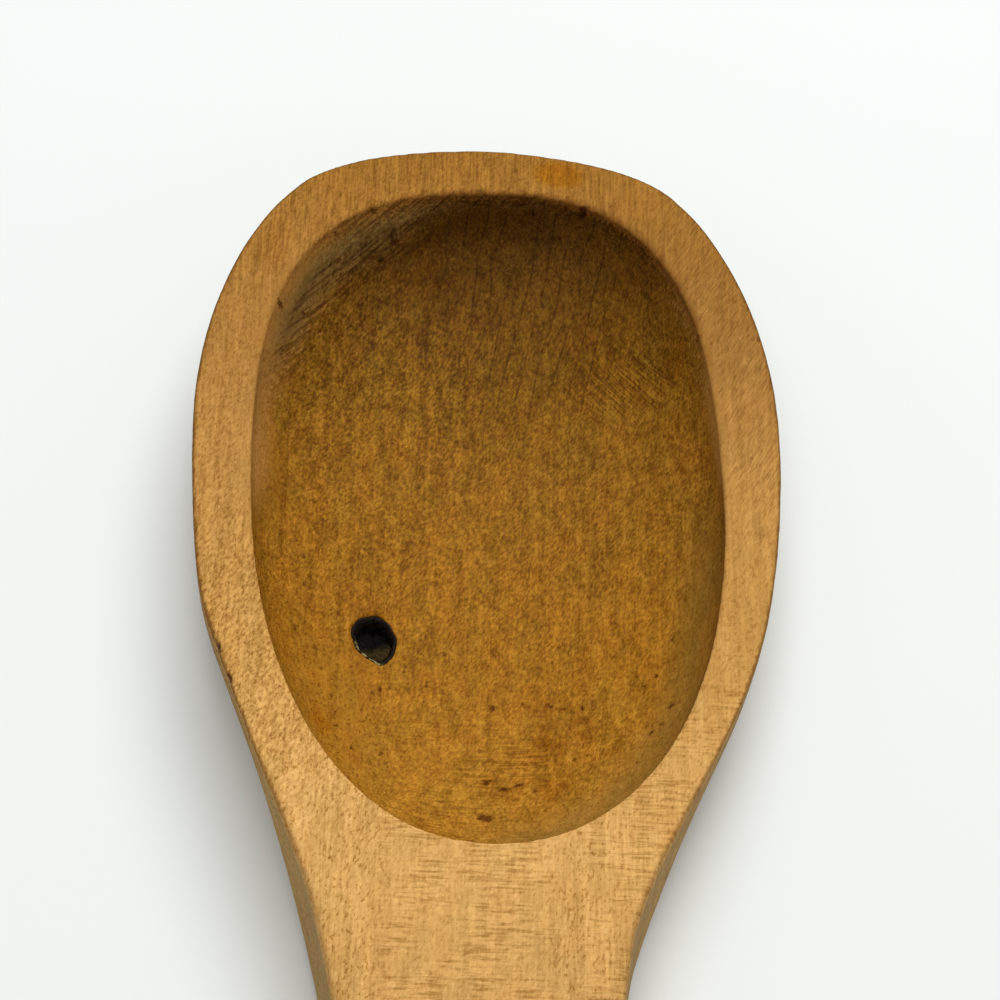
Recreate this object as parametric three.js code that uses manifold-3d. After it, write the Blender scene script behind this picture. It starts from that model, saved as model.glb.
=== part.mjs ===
import * as THREE from 'three';
import { mergeVertices } from 'three/addons/utils/BufferGeometryUtils.js';
import Module from 'manifold-3d';

// Wooden spoon carved from one board, with a dead knot in the bowl.
// Millimetres. +Z is up from the table, +Y runs from the handle to the bowl's tip, +X is to the right.
// A size ending in BACK is a distance from the bowl's tip towards the handle's end.

// Overall sizes
const LENGTH = 290;
const BOWL_WIDTH = 71.4;
const RIM_HEIGHT = 17;

// Plan outline of the bowl: an almost straight tip, a shoulder at 45 degrees, then the widest line
const TIP_STRAIGHT = 38;
const SHOULDER_BACK = 7.5;
const SHOULDER_WIDTH = 49.5;
const SHOULDER_PULL = 5.5;
const WIDEST_BACK = 42;
const WIDEST_PULL = 15.6;
const BOWL_LEAN = 0.02;
const LEAN_START_BACK = 60;
const LEAN_END_BACK = 110;

// Plan outline of the neck and handle
const FLARE_PULL = 46;
const NECK_PULL = 54.6;
const NECK_BACK = 145;
const NECK_WIDTH = 27;
const HANDLE_PULL = 40;
const END_WIDTH = 27;
const END_ROUND = 10;

// Edges and underside
const BOWL_EDGE = 4;
const BOWL_UNDERCUT = 20;
const BOWL_EASE = 0.5;
const NECK_RISE = 1;
const HANDLE_ROUND = 3;
const HANDLE_EASE = 1;
const HANDLE_LEAN = 0.8;
const END_HEIGHT = 13;
const END_FOOT = 30;
const BLEND_START_BACK = 84;
const BLEND_END_BACK = 109;

// Hollow of the bowl
const TIP_RIM = 7.5;
const HOLLOW_LENGTH = 90.4;
const HOLLOW_WIDTH = 56.4;
const HOLLOW_WIDEST = 42;
const HOLLOW_TURN = 2.9;
const HOLLOW_SHIFT = 0.2;
const FLOOR = 3.5;
const FAR_PLAN_POWER = 2.75;
const NEAR_PLAN_POWER = 2.17;
const FAR_DEPTH_POWER = 4.5;
const NEAR_DEPTH_POWER = 3;
const HOLLOW_LID = 4;

// Dead knot: an oval branch stub in its ring of bark, loose in a blind seat in the bowl's floor
const KNOT_X = -12.7;
const KNOT_BACK = 67;
const KNOT_WIDTH = 5.4;
const KNOT_LENGTH = 7.4;
const KNOT_TAPER = 0.4;
const KNOT_FLOOR = 1.8;
const KNOT_RECESS = 1;
const BARK = 0.6;
const CLEARANCE = 0.3;

// Fineness of the curved surfaces
const TIP_STEPS = 9;
const SIDE_STEPS = 8;
const FLARE_STEPS = 20;
const HANDLE_STEPS = 9;
const END_STEPS = 7;
const UNDER_STEPS = 8;
const EASE_STEPS = 2;
const HOLLOW_STATIONS = 44;
const HOLLOW_STEPS = 22;
const KNOT_SIDES = 24;

const { lerp, smoothstep, degToRad } = THREE.MathUtils;
const wasm = await Module();
wasm.setup();

const yAt = (back) => LENGTH / 2 - back;

// Merges shared corners and drops the triangles that collapse where a ring shrinks to a line or a point
function welded(geometry) {
  geometry.deleteAttribute('normal');
  geometry.deleteAttribute('uv');
  const merged = mergeVertices(geometry);
  const corners = [];
  for (let i = 0; i < merged.index.count; i += 3) {
    const [a, b, c] = [0, 1, 2].map((k) => merged.index.getX(i + k));
    if (a !== b && b !== c && c !== a) corners.push(a, b, c);
  }
  merged.setIndex(corners);
  return merged;
}

// Solid for cutting, from a closed geometry
function solid(geometry) {
  const closed = welded(geometry);
  return new wasm.Manifold(new wasm.Mesh({
    numProp: 3,
    vertProperties: new Float32Array(closed.attributes.position.array),
    triVerts: new Uint32Array(closed.index.array),
  }));
}

// Named mesh from a finished solid
function mesh(name, piece, material) {
  const { vertProperties, triVerts } = piece.getMesh();
  const geometry = new THREE.BufferGeometry();
  geometry.setAttribute('position', new THREE.BufferAttribute(vertProperties, 3));
  geometry.setIndex(new THREE.BufferAttribute(triVerts, 1));
  const flat = geometry.toNonIndexed();
  flat.computeVertexNormals();
  const result = new THREE.Mesh(flat, material);
  result.name = name;
  return result;
}

// Skin over a stack of closed rings with equal point counts, wound anticlockwise seen from the last ring
function skin(rings) {
  const count = rings[0].length;
  const corners = [];
  for (let i = 0; i < rings.length - 1; i++) {
    for (let j = 0; j < count; j++) {
      const a = i * count + j;
      const b = i * count + (j + 1) % count;
      corners.push(a, b, b + count, a, b + count, a + count);
    }
  }
  const geometry = new THREE.BufferGeometry().setFromPoints(rings.flat());
  geometry.setIndex(corners);
  return geometry;
}

// Half of the plan outline, from tip to handle end, as points (back, half width)
function halfOutline() {
  const at = (back, width) => new THREE.Vector2(back, width / 2);
  const widest = at(WIDEST_BACK, BOWL_WIDTH);
  const shoulder = at(SHOULDER_BACK, SHOULDER_WIDTH);
  const neck = at(NECK_BACK, NECK_WIDTH);
  const endBack = LENGTH - END_ROUND;
  const end = at(endBack, END_WIDTH);
  const tip = new THREE.CubicBezierCurve(at(0, 0), at(0, 0), at(0, TIP_STRAIGHT), shoulder);
  const side = new THREE.CubicBezierCurve(
    shoulder,
    at(SHOULDER_BACK + SHOULDER_PULL, SHOULDER_WIDTH + 2 * SHOULDER_PULL),
    at(WIDEST_BACK - WIDEST_PULL, BOWL_WIDTH),
    widest,
  );
  const flare = new THREE.CubicBezierCurve(
    widest,
    at(WIDEST_BACK + FLARE_PULL, BOWL_WIDTH),
    at(NECK_BACK - NECK_PULL, NECK_WIDTH),
    neck,
  );
  const handle = new THREE.CubicBezierCurve(
    neck,
    at(NECK_BACK + HANDLE_PULL, NECK_WIDTH),
    at(endBack - HANDLE_PULL, END_WIDTH),
    end,
  );
  const round = new THREE.EllipseCurve(endBack, 0, END_ROUND, END_WIDTH / 2, Math.PI / 2, 0, true);
  return [
    ...tip.getPoints(TIP_STEPS),
    ...side.getPoints(SIDE_STEPS).slice(1),
    ...flare.getPoints(FLARE_STEPS).slice(1),
    ...handle.getPoints(HANDLE_STEPS).slice(1),
    ...round.getPoints(END_STEPS).slice(1),
  ];
}

// The blank's lengthwise profile
const blend = (back) => smoothstep(back, BLEND_START_BACK, BLEND_END_BACK);
const droop = (back) => smoothstep(back, NECK_BACK, LENGTH - END_FOOT);
const topHeight = (back) => lerp(RIM_HEIGHT, END_HEIGHT, droop(back));
const bottomHeight = (back) => NECK_RISE * blend(back) * (1 - droop(back));

// The bowl's centre line leans a little to the left of the handle's at the tip
function centreLine(back) {
  return BOWL_LEAN * (back - WIDEST_BACK) * (1 - smoothstep(back, LEAN_START_BACK, LEAN_END_BACK));
}

// One station of the outline: its edge point, its foot on the centre line and its edge sizes
function station(point, side) {
  const back = point.x;
  const footBack = THREE.MathUtils.clamp(back, WIDEST_BACK, LENGTH - END_WIDTH / 2);
  const edge = new THREE.Vector2(centreLine(back) + side * point.y, yAt(back));
  const foot = new THREE.Vector2(centreLine(footBack), yAt(footBack));
  return {
    edge,
    foot,
    inward: foot.clone().sub(edge).normalize(),
    top: topHeight(footBack),
    bottom: bottomHeight(footBack),
    rise: lerp(RIM_HEIGHT - BOWL_EDGE, HANDLE_ROUND, blend(back)),
    undercut: lerp(BOWL_UNDERCUT, HANDLE_ROUND, blend(back)),
    lean: HANDLE_LEAN * blend(back),
    ease: lerp(BOWL_EASE, HANDLE_EASE, blend(back)),
  };
}

// Point of a station at a distance inside its edge and a height
function inset(at, distance, height) {
  const p = at.edge.clone().addScaledVector(at.inward, distance);
  return new THREE.Vector3(p.x, p.y, height);
}

// Underside curve: a quarter ellipse from the flat bottom (0) out to the upright edge (1)
function underPoint(at, share) {
  const angle = share * Math.PI / 2;
  return inset(at, at.undercut * (1 - Math.sin(angle)), at.bottom + at.rise * (1 - Math.cos(angle)));
}

// Eased top edge: a quarter circle from the side, which leans in up the neck, (0) onto the flat top (1)
function easePoint(at, share) {
  const angle = share * Math.PI / 2;
  return inset(at, at.lean + at.ease * (1 - Math.cos(angle)), at.top - at.ease * (1 - Math.sin(angle)));
}

// Whole blank: the outline's edge profile skinned from the underside's centre line to the top's
function blankGeometry() {
  const half = halfOutline();
  const left = half.map((p) => station(p, -1));
  const right = half.slice(1, -1).reverse().map((p) => station(p, 1));
  const loop = [...left, ...right];
  const rings = [];
  rings.push(loop.map((at) => new THREE.Vector3(at.foot.x, at.foot.y, at.bottom)));
  for (let i = 0; i <= UNDER_STEPS; i++) rings.push(loop.map((at) => underPoint(at, i / UNDER_STEPS)));
  for (let i = 0; i <= EASE_STEPS; i++) rings.push(loop.map((at) => easePoint(at, i / EASE_STEPS)));
  rings.push(loop.map((at) => new THREE.Vector3(at.foot.x, at.foot.y, at.top)));
  return skin(rings);
}

// Hollow of the bowl: half-ellipse sections from the far end (share 1) to the near end (share -1)
function hollowGeometry() {
  const rings = [];
  for (let i = 0; i <= HOLLOW_STATIONS; i++) {
    const share = Math.cos(Math.PI * i / HOLLOW_STATIONS);
    const far = share > 0;
    const reach = far ? HOLLOW_WIDEST : HOLLOW_LENGTH - HOLLOW_WIDEST;
    const planPower = far ? FAR_PLAN_POWER : NEAR_PLAN_POWER;
    const depthPower = far ? FAR_DEPTH_POWER : NEAR_DEPTH_POWER;
    const away = Math.abs(share);
    const halfWidth = HOLLOW_WIDTH / 2 * (1 - away ** planPower) ** (1 / planPower);
    const depth = (RIM_HEIGHT - FLOOR) * Math.sqrt(1 - away ** depthPower);
    const y = share * reach;
    const ring = [];
    for (let k = 0; k <= HOLLOW_STEPS; k++) {
      const angle = Math.PI * k / HOLLOW_STEPS;
      ring.push(new THREE.Vector3(-halfWidth * Math.cos(angle), y, -depth * Math.sin(angle)));
    }
    ring.push(new THREE.Vector3(halfWidth, y, HOLLOW_LID), new THREE.Vector3(-halfWidth, y, HOLLOW_LID));
    rings.push(ring);
  }
  const geometry = skin(rings);
  geometry.rotateZ(degToRad(HOLLOW_TURN));
  geometry.translate(HOLLOW_SHIFT, yAt(TIP_RIM + HOLLOW_WIDEST), RIM_HEIGHT);
  return geometry;
}

// Oval tapered piece about the knot's upright axis, from profile points (radius, height)
function knotPiece(profile) {
  const geometry = new THREE.LatheGeometry(profile.map(([r, z]) => new THREE.Vector2(r, z)), KNOT_SIDES);
  geometry.rotateX(Math.PI / 2);
  geometry.scale(1, KNOT_LENGTH / KNOT_WIDTH, 1);
  geometry.translate(KNOT_X, yAt(KNOT_BACK), 0);
  return solid(geometry);
}

const wood = new THREE.MeshStandardMaterial({ color: 0xc08a52, roughness: 0.6, metalness: 0 });
const barkSkin = new THREE.MeshStandardMaterial({ color: 0x3a2413, roughness: 0.8, metalness: 0 });
const knotWood = new THREE.MeshStandardMaterial({ color: 0x24150b, roughness: 0.55, metalness: 0 });

const hollow = solid(hollowGeometry());
const seatRadius = KNOT_WIDTH / 2;
const barkRadius = seatRadius - CLEARANCE;
const boreRadius = barkRadius - BARK;
const coreRadius = boreRadius - CLEARANCE;
const knotBottom = KNOT_FLOOR + CLEARANCE;

// Bowl, neck and handle: one carved piece with the hollow and the knot's seat cut out of it
function spoonBody() {
  const seat = knotPiece([
    [0, KNOT_FLOOR],
    [seatRadius - KNOT_TAPER, KNOT_FLOOR],
    [seatRadius, RIM_HEIGHT],
    [0, RIM_HEIGHT],
  ]);
  return mesh('spoon_body', solid(blankGeometry()).subtract(hollow).subtract(seat), wood);
}

// Ring of bark round the knot, worn flush with the hollow
function knotBark() {
  const ring = knotPiece([
    [boreRadius - KNOT_TAPER, knotBottom],
    [barkRadius - KNOT_TAPER, knotBottom],
    [barkRadius, RIM_HEIGHT],
    [boreRadius, RIM_HEIGHT],
    [boreRadius - KNOT_TAPER, knotBottom],
  ]);
  return mesh('knot_bark', ring.subtract(hollow), barkSkin);
}

// Branch stub inside the bark, sunk below the hollow's surface
function knotCore() {
  const stub = knotPiece([
    [0, knotBottom],
    [coreRadius - KNOT_TAPER, knotBottom],
    [coreRadius, RIM_HEIGHT],
    [0, RIM_HEIGHT],
  ]);
  return mesh('knot_core', stub.subtract(hollow.translate([0, 0, -KNOT_RECESS])), knotWood);
}

const spoon = new THREE.Group();
spoon.add(spoonBody(), knotBark(), knotCore());

export default spoon;
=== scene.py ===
import math

import bmesh
import bpy
import numpy as np
from mathutils import Matrix, Vector, noise


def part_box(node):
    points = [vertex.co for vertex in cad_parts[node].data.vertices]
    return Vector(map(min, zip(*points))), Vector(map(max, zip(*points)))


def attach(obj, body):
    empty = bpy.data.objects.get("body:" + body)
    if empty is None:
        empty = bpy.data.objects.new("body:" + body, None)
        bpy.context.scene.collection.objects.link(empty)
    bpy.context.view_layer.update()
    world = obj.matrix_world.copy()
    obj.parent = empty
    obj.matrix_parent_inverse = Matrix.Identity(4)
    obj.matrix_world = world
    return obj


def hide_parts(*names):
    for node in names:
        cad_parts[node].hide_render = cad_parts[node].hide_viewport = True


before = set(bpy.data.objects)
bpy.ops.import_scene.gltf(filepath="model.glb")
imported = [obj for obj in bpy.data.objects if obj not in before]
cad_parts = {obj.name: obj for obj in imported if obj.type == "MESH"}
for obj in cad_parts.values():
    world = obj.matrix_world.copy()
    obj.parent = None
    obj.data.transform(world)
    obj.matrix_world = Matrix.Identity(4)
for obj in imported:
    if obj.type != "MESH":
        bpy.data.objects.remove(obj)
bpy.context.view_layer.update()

# Carved wooden spoon. Shapes are worked out in millimetres in the CAD frame: +Y to the bowl's tip, +Z up.
# A size ending in BACK is a distance from the bowl's tip towards the handle's end.
MM = 0.001
body_low, body_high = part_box("spoon_body")
LENGTH = (body_high[1] - body_low[1]) / MM
BOWL_WIDTH = (body_high[0] - body_low[0]) / MM
RIM_HEIGHT = body_high[2] / MM

# Plan outline
TIP_STRAIGHT = 38
SHOULDER_BACK = 7.5
SHOULDER_WIDTH = 49.5
SHOULDER_PULL = 5.5
WIDEST_BACK = 42
WIDEST_PULL = 15.6
BOWL_LEAN = 0.02
LEAN_START_BACK = 60
LEAN_END_BACK = 110
FLARE_PULL = 46
NECK_PULL = 54.6
NECK_BACK = 145
NECK_WIDTH = 27
HANDLE_PULL = 40
END_WIDTH = 27
END_ROUND = 10

# Carved a little fuller than true: the bowl's sides (distance from the tip, half length, amount), the neck
FULL_LEFT = (68, 9, 0.6)
FULL_RIGHT = (78, 13, 0.5)
FULL_NECK = 0.95
FULL_NECK_START_BACK = (106, 118)
FULL_NECK_END_BACK = (150, 200)

# Edges and underside
BOWL_EDGE = 4
BOWL_UNDERCUT = 20
BOWL_EASE = 0.5
NECK_RISE = 1
HANDLE_ROUND = 3
HANDLE_EASE = 1
HANDLE_LEAN = 0.8
END_HEIGHT = 13
END_FOOT = 30
BLEND_START_BACK = 84
BLEND_END_BACK = 109

# Hollow of the bowl
TIP_RIM = 7.5
HOLLOW_LENGTH = 90.4
HOLLOW_WIDTH = 56.4
HOLLOW_WIDEST = 42
HOLLOW_TURN = math.radians(2.9)
HOLLOW_SHIFT = 0.2
FLOOR = 3.5
FAR_PLAN_POWER = 2.75
NEAR_PLAN_POWER = 2.17
FAR_DEPTH_POWER = 4.5
NEAR_DEPTH_POWER = 3
HOLLOW_LID = 4
LEAST_WIDTH = 1e-6

# Dead knot
KNOT_X = -12.7
KNOT_BACK = 67
KNOT_WIDTH = 5.4
KNOT_LENGTH = 7.4
KNOT_FLOOR = 1.8
KNOT_LIFT = 0.4
KNOT_LUMP = 0.5
SEAT_TAPER = 0.88

# Knot's uneven outline: (share of its radius, waves round it, phase)
KNOT_WAVES = (
    (0.085, 1, 0.43),
    (0.086, 2, 2.55),
    (0.031, 3, -1.3),
    (0.03, 5, 1),
    (0.02, 9, 0),
)

# Bark, from its outside to its inside: (share of the knot's radius, depth below the hollow, unevenness)
BARK_RINGS = (
    (0.95, 0.7, 0.1),
    (0.945, 0.4, 0.3),
    (0.91, 0.25, 0.3),
    (0.86, 0.3, 0.3),
    (0.81, 0.5, 0.3),
    (0.77, 0.8, 0.3),
    (0.74, 1.2, 0.3),
    (0.73, 2.4, 0.1),
)
BARK_FOOT = (0.87, 0.7)
BARK_SEED = 5

# Dead branch's stub, as above, with the slope of its top and the crack across it
CORE_SCALES = (0.69, 0.67, 0.62, 0.54, 0.45, 0.35, 0.25, 0.15, 0.07)
CORE_FOOT = (0, 0.67)
CORE_SUNK = 1.6
CORE_UNEVEN = 0.3
CORE_SEED = 9
CORE_SLOPE = 0.35
CRACK_DEPTH = 0.4
CRACK_WIDTH = 0.22
CRACK_SWING = 0.3
CRACK_WAVE = 2

# Steps along each stretch of the outline, of the edge's profile, of the hollow and round the knot
TIP_STEPS = 80
SIDE_STEPS = 60
FLARE_STEPS = 120
HANDLE_STEPS = 70
CAP_STEPS = 40
UNDERCUT_STEPS = 32
EASE_STEPS = 6
HOLLOW_STEPS = 180
ARC_STEPS = 120
KNOT_STEPS = 72

# Fineness of the carved surface, and distances in metres within which points are joined
VOXEL = 0.4
SMOOTHING = 4
SMOOTH_FACTOR = 0.5
WELD = 1e-7
SLIVER = 1e-8

# Texture map: where bowl and handle part, how far slopes spread, and its areas (upper, bowl, corner, size)
MAP_NAME = "OFBake"
MAP_CUT = 45
MAP_SINK = 0.2
MAP_SPREAD = 0.6
MAP_STEEP = 0.4
MAP_AREAS = (
    (True, True, (0.01, 0.32), (0.66, 0.67)),
    (False, True, (0.69, 0.32), (0.30, 0.67)),
    (True, False, (0.01, 0.19), (0.98, 0.12)),
    (False, False, (0.01, 0.01), (0.98, 0.17)),
)

# Hand-carved unevenness: (size, height) of its lumps, how high they stand, its fade above the table
LUMPS = ((22, 0.12), (7, 0.05), (2.6, 0.025))
LUMP_PEAK = 0.08
LUMP_RISE = (0.2, 2)
SEED_STEP = 17.3

# Nicks in the outer edge: (x, y, z, radius, depth)
NICKS = (
    (-30.6, 70.2, 16.6, 0.7, 0.4),
    (-29.1, 66.2, 16.6, 0.7, 0.3),
)

# How far past its outline and below its surface a point still counts as inside the hollow
HOLLOW_MARGIN = 1
WALL_MARGIN = 1.5

# Parts of the hollow. A pair is where a share starts to change and where it is done: ALONG the hollow from
# its widest place, ACROSS it to the right, out to its LEFT or RIGHT side, or BELOW the rim.
FAR_ALONG = (12, 26)
NEAR_END_ALONG = (-14, 4)
LEFT_SIDE = (0, 12)
RIGHT_SIDE = (3, 15)

# Hollow's far left wall and right wall, carved less steep
FULL_LEFT_WALL = 1.2
FULL_RIGHT_WALL = 0.4
FULL_RIGHT_ACROSS = (10, 20)
FULL_RIGHT_START_ALONG = (-5, 10)
FULL_RIGHT_END_ALONG = (28, 38)
FULL_TOP_BELOW = (0, 3.5)
FULL_FOOT_BELOW = (5, 11)

# Edge of the hollow's dark wood, ragged at the far end. At the far left it starts deeper, so the rim's paler
# colour runs down the steep wall as painted light.
RAGGED_RIGHT = 0.8
RAGGED_LEFT = 0.4
RAGGED_SIZE = 0.9
RAGGED_SEED = 4
DARK_NEAR_BELOW = (0.15, 0.6)
DARK_FAR_RIGHT_BELOW = (0.15, 2)
DARK_FAR_LEFT_BELOW_PAINTED_LIGHT = (0.9, 3.4)

# Walls worn pale under the edge, and greyed at the near right
WORN_RIGHT = 0.6
WORN_LEFT = 0.65
WORN_END_ALONG = (24, 38)
WORN_RIGHT_BELOW = (0.6, 4.5)
WORN_LEFT_BELOW = (2, 9)
GREYED_ACROSS = (-6, 6)
GREYED_END_BELOW = (5, 9)
GREYED_SMOOTH = 0.4

# Grey band on the far wall: partly the wall's own grey, partly painted light that lifts the wall's shade
WALL_GREY_AND_LIGHT_RIGHT = 0.35
WALL_GREY_AND_LIGHT_RIGHT_TOP_BELOW = (0, 1.2)
WALL_GREY_AND_LIGHT_LEFT_TOP_BELOW = (0.5, 2.6)
WALL_GREY_AND_LIGHT_RIGHT_FOOT_BELOW = (1, 3.5)
WALL_GREY_AND_LIGHT_LEFT_FOOT_BELOW = (3, 7)
WALL_GREY_AND_LIGHT_END_ACROSS = (2, 20)

# Painted shade under the far edge, caked lines at its top, gouge marks on the left wall, dirt on the rim
FAR_EDGE_SHADE_RIGHT = 0.4
FAR_EDGE_SHADE_ALONG = (22, 34)
FAR_EDGE_SHADE_LEFT_TOP_BELOW = (1.5, 3.2)
FAR_EDGE_SHADE_RIGHT_TOP_BELOW = (0.2, 1.4)
FAR_EDGE_SHADE_FOOT_BELOW = (5, 8)
FAR_EDGE_SHADE_END_LEFT = (4, 18)
CAKED_RIGHT = 0.5
CAKED_END_LEFT = (14, 22)
CAKED_TOP_BELOW = (0, 0.6)
CAKED_FOOT_BELOW = (1.6, 3)
GOUGED_TOP_BELOW = (2, 3.2)
GOUGED_FOOT_BELOW = (5.5, 7.5)
DIRT_LEFT = 0.2
DIRT_ROUGH = 1.2
DIRT_SIZE = 1.4
DIRT_SEED = 6
DIRT_DEPTH = (1.2, 4.5)

# Darker outer sides, and the outer edge darkened partly by dirt and partly by painted shade on its rounding:
# BELOW the rim, by place along Y, and by the surface's slope
OUTER_SIDE_BELOW = (0.6, 1.6)
OUTER_SIDE_Y = (-40, 40)
OUTER_EDGE_DIRT_AND_SHADE_SLOPE = (0.02, 0.16)
OUTER_EDGE_DIRT_AND_SHADE_END_BELOW = (0.5, 1)
OUTER_EDGE_DIRT_AND_SHADE_Y = (10, 70)

# Outside the hollow, marks and stains lie on top down to this depth. Amber stains have a clear edge.
TOP_BELOW = 1
AMBER_EDGE = (0.25, 0.6)

# Dark specks: (x, y, half width, half length, turn in degrees, strength)
DARK_MARKS = (
    (1.1, 53.5, 1.3, 0.75, 0, 0.9),
    (1.6, 78, 0.4, 1.4, 0, 0.8),
    (1.7, 69.9, 0.6, 0.6, 0, 0.85),
    (1.1, 59.1, 0.75, 0.55, 0, 0.9),
    (3.1, 58.1, 1, 0.45, 18, 0.8),
    (4.4, 56.6, 0.4, 0.4, 0, 0.75),
    (4.9, 58.8, 0.9, 0.4, 22, 0.8),
    (6.7, 58, 0.5, 0.4, 0, 0.6),
    (-2.6, 54.8, 0.4, 0.4, 0, 0.6),
    (5.5, 70.4, 0.6, 0.5, 0, 0.7),
    (-14.6, 61.4, 0.35, 0.35, 0, 0.7),
    (-3.3, 59.1, 0.5, 0.4, 0, 0.6),
    (-11.7, 71.1, 0.4, 0.6, 0, 0.9),
    (-6.2, 72.8, 0.5, 0.8, 0, 0.55),
    (-21.9, 76.8, 0.4, 0.7, 0, 0.6),
    (-20.3, 77.2, 0.4, 0.5, 0, 0.55),
    (-16.6, 64.3, 0.4, 0.4, 0, 0.75),
    (-11.2, 61.6, 0.4, 0.4, 0, 0.8),
    (8.5, 70.2, 0.8, 0.7, 0, 0.65),
    (10, 69.7, 0.4, 0.5, 0, 0.65),
    (12.3, 69.6, 0.5, 0.7, 0, 0.7),
    (19.3, 71.7, 0.6, 0.5, 0, 0.65),
    (20.8, 72.7, 0.4, 0.6, 0, 0.75),
    (22.8, 77.3, 0.4, 0.7, 0, 0.6),
    (22.3, 67.7, 0.5, 0.4, 30, 0.9),
    (20, 64.5, 0.4, 0.6, -40, 0.75),
    (21.2, 65.2, 0.4, 0.6, -40, 0.65),
    (20.5, 80.5, 0.35, 0.6, 0, 0.6),
    (18.4, 60.3, 0.4, 0.4, 0, 0.6),
    (-14, 130.8, 0.5, 0.5, 0, 0.8),
    (-23.4, 120.5, 0.4, 0.7, 0, 0.65),
    (-26.1, 119.5, 0.5, 0.7, 0, 0.9),
    (-19.8, 131, 0.5, 0.5, 0, 0.75),
    (-15.2, 134.6, 0.8, 0.4, 20, 0.8),
    (-13.4, 134.8, 0.9, 0.3, 30, 0.75),
    (-11.6, 135.6, 1.1, 0.35, 15, 0.75),
    (-9.4, 136.4, 0.9, 0.3, 10, 0.7),
    (-12.5, 133, 1, 0.9, 40, 0.8),
    (-26, 133.1, 0.4, 0.5, 0, 0.65),
    (11.7, 136, 0.8, 0.45, 0, 0.9),
    (5.5, 136.9, 0.5, 0.4, 0, 0.7),
    (33.4, 116.3, 0.4, 0.5, 0, 0.85),
    (26.1, 116.6, 0.6, 0.7, 0, 0.65),
    (-30.2, 70.2, 0.4, 0.9, 20, 0.9),
    (-28.7, 66.4, 0.4, 0.9, 22, 0.9),
)

# Browned, yellowed, scratched and rippled places, as above
BROWN_STAINS = (
    (8.4, 64.5, 2.2, 3.4, 0, 1),
    (12.8, 65.6, 2.2, 1.4, -10, 0.8),
    (9.3, 58.5, 2.6, 2.4, 10, 1),
    (3.6, 57.4, 2.2, 1.2, 0, 0.6),
    (8.5, 70, 3.5, 1.2, 0, 0.7),
    (-6.6, 129.5, 2.2, 3.2, 10, 0.7),
    (-12.7, 82, 2.6, 1, 0, 0.7),
    (14, 120.5, 4.5, 5, 0, 0.6),
    (7, 54.5, 3, 1.5, 0, 0.5),
    (15.9, 62.8, 1.1, 0.9, -20, 0.8),
    (12, 67.8, 1.4, 0.9, 0, 0.8),
    (23.2, 116.3, 1.6, 2.6, 0, 0.8),
    (-28.4, 127.4, 2.2, 2.6, 0, 0.55),
    (1.2, 59.3, 1.5, 1.2, 0, 0.8),
    (3.9, 58.4, 2, 0.7, 15, 1),
)
AMBER_STAINS = (
    (-18.2, 64, 2.2, 3.5, 25, 0.5),
    (8.6, 141.2, 3.4, 2.2, -8, 1),
)
SCRATCHED = (
    (18, 115, 8, 5, 0, 1),
)
RIPPLED = (
    (5, 63, 3.5, 3.5, 0, 1),
)

# Wood colours, linear: (share of the length from the handle's end, colour)
RIM_COLOURS = (
    (0.0, (0.58, 0.32, 0.097)),
    (0.59, (0.62, 0.342, 0.103)),
    (0.66, (0.70, 0.39, 0.12)),
    (0.74, (0.575, 0.303, 0.078)),
    (0.90, (0.42, 0.197, 0.042)),
    (0.99, (0.34, 0.149, 0.021)),
)
HOLLOW_COLOURS = (
    (0.68, (0.40, 0.177, 0.017)),
    (0.76, (0.345, 0.145, 0.0108)),
    (0.85, (0.277, 0.1175, 0.0098)),
    (0.90, (0.205, 0.088, 0.006)),
    (0.945, (0.145, 0.06, 0.005)),
    (0.975, (0.11, 0.048, 0.006)),
)
# Far wall's grey band, paler than the far hollow: partly grey wood, partly painted light
WALL_GREY_AND_LIGHT_COLOUR = (0.185, 0.1, 0.024)

# Tints, by which the wood's colour is multiplied
TINTS = {
    "amber": (0.96, 0.8, 0.24),
    # Painted shade under the hollow's far edge
    "far_edge_shade": (0.76, 0.67, 0.45),
    "greyed": (0.84, 0.95, 1.6),
    "side": (0.62, 0.68, 0.74),
    # Outer edge: partly dirt, partly painted shade
    "edge": (0.5, 0.44, 0.36),
    "dirt": (0.5, 0.42, 0.34),
}
RIGHT_TINT = (0.84, 0.82, 0.78)
OLIVE_TINT = (0.935, 0.965, 0.95)
ORANGE_TINT = (1.065, 1.025, 1.01)
BROWN_TINT = (0.62, 0.49, 0.14)
STROKE_TINT = (0.62, 0.5, 0.28)
MARK_TINT = (0.24, 0.13, 0.07)
FIGURE_DARK = (0.68, 0.61, 0.45)
FIGURE_PALE = (1.32, 1.38, 1.52)
GLINT_TINT = (1.4, 1.42, 1.6)

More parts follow.
